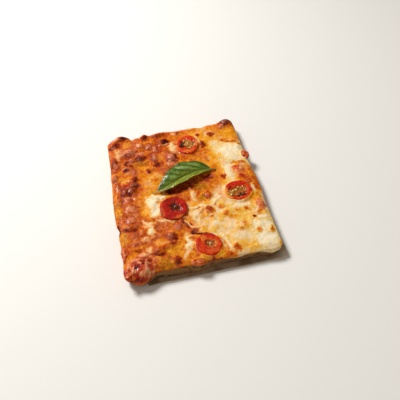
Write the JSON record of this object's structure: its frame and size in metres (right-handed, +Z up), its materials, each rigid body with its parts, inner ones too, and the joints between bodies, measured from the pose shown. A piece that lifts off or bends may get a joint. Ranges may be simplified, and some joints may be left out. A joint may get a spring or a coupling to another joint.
{
  "type": "margherita pizza slice",
  "caption": "Rectangular slice of tray-baked margherita pizza with browned mozzarella, halved cherry tomatoes and a basil leaf, lying on a thin paper liner.",
  "frame": {"origin": "under the middle of the whole, on the surface that the liner lies on", "axes": "+Z up out of the topping, +Y from the cut front edge towards the baked back edge, +X towards the cut right edge"},
  "size_m": [0.1414, 0.1762, 0.0223],
  "materials": {
    "liner_paper": "thin greaseproof paper with a slight sheen",
    "baked_dough": null,
    "tomato_sauce": null,
    "browned_mozzarella": null,
    "cherry_tomato": null,
    "crushed_tomato": null,
    "basil_leaf": null
  },
  "bodies": {
    "root": {"paper_liner": "liner_paper", "dough_base": "baked_dough", "tomato_sauce": "tomato_sauce", "mozzarella": "browned_mozzarella", "cherry_tomato_half_1": "cherry_tomato", "cherry_tomato_half_2": "cherry_tomato", "cherry_tomato_half_3": "cherry_tomato", "cherry_tomato_half_4": "cherry_tomato", "crushed_tomato_1": "crushed_tomato", "crushed_tomato_2": "crushed_tomato", "crushed_tomato_3": "crushed_tomato", "crushed_tomato_4": "crushed_tomato", "crushed_tomato_5": "crushed_tomato", "basil_leaf": "basil_leaf"}
  },
  "joints": []
}
